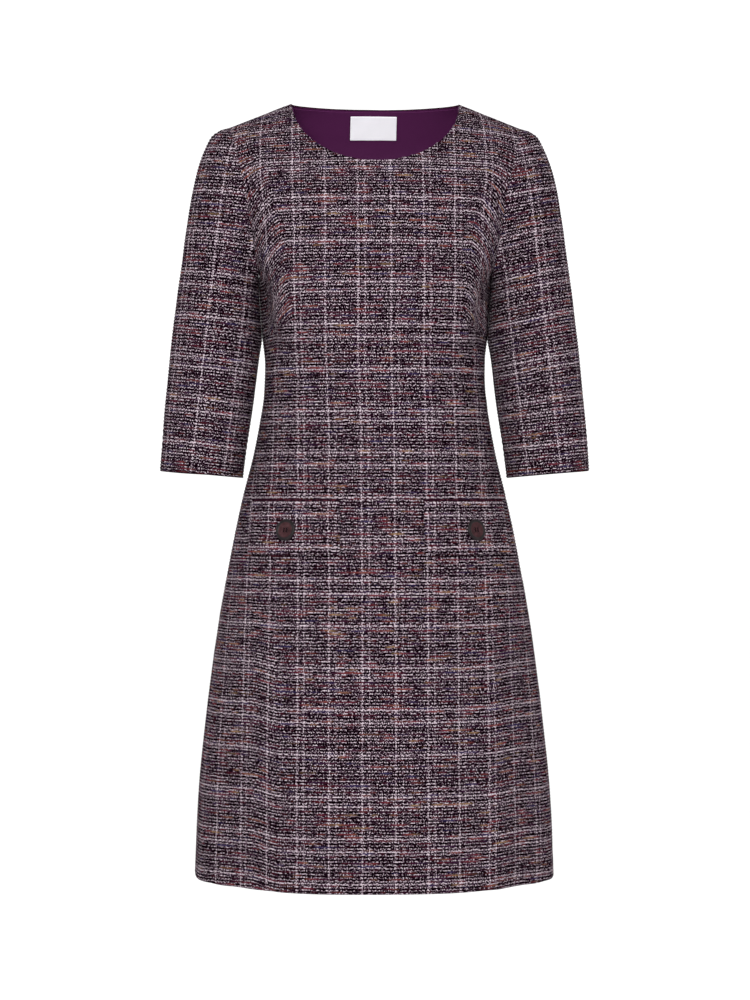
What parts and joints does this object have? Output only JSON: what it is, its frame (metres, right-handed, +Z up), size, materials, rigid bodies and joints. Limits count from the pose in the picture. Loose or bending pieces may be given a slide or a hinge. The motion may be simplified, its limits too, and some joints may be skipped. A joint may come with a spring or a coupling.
{
  "type": "shift dress",
  "caption": "Knee-length A-line shift dress in boucle tweed, round neck, elbow-length set-in sleeves and buttoned pocket flaps, hollow as worn.",
  "frame": {"origin": "midway between the neck ends of the two shoulder seams, where the shoulders carry the dress", "axes": "+Z up, the front of the dress faces -Y, +X is the wearer's left"},
  "size_m": [0.5236, 0.286, 0.948],
  "materials": {
    "tweed": "matte boucle tweed, dark plum ground with pinkish white and coloured flecks and a loose window check",
    "lining": "smooth plum lining with a faint sheen",
    "label": "white woven satin, bare",
    "button": "dark brown, horn-like, softly polished"
  },
  "bodies": {
    "root": {"front_panel": "tweed", "back_panel": "tweed", "sleeve_left": "tweed", "sleeve_right": "tweed", "pocket_flap_left": "tweed", "pocket_flap_right": "tweed", "button_left": "button", "button_right": "button", "back_neck_lining": "lining", "neck_label": "label"}
  },
  "joints": []
}
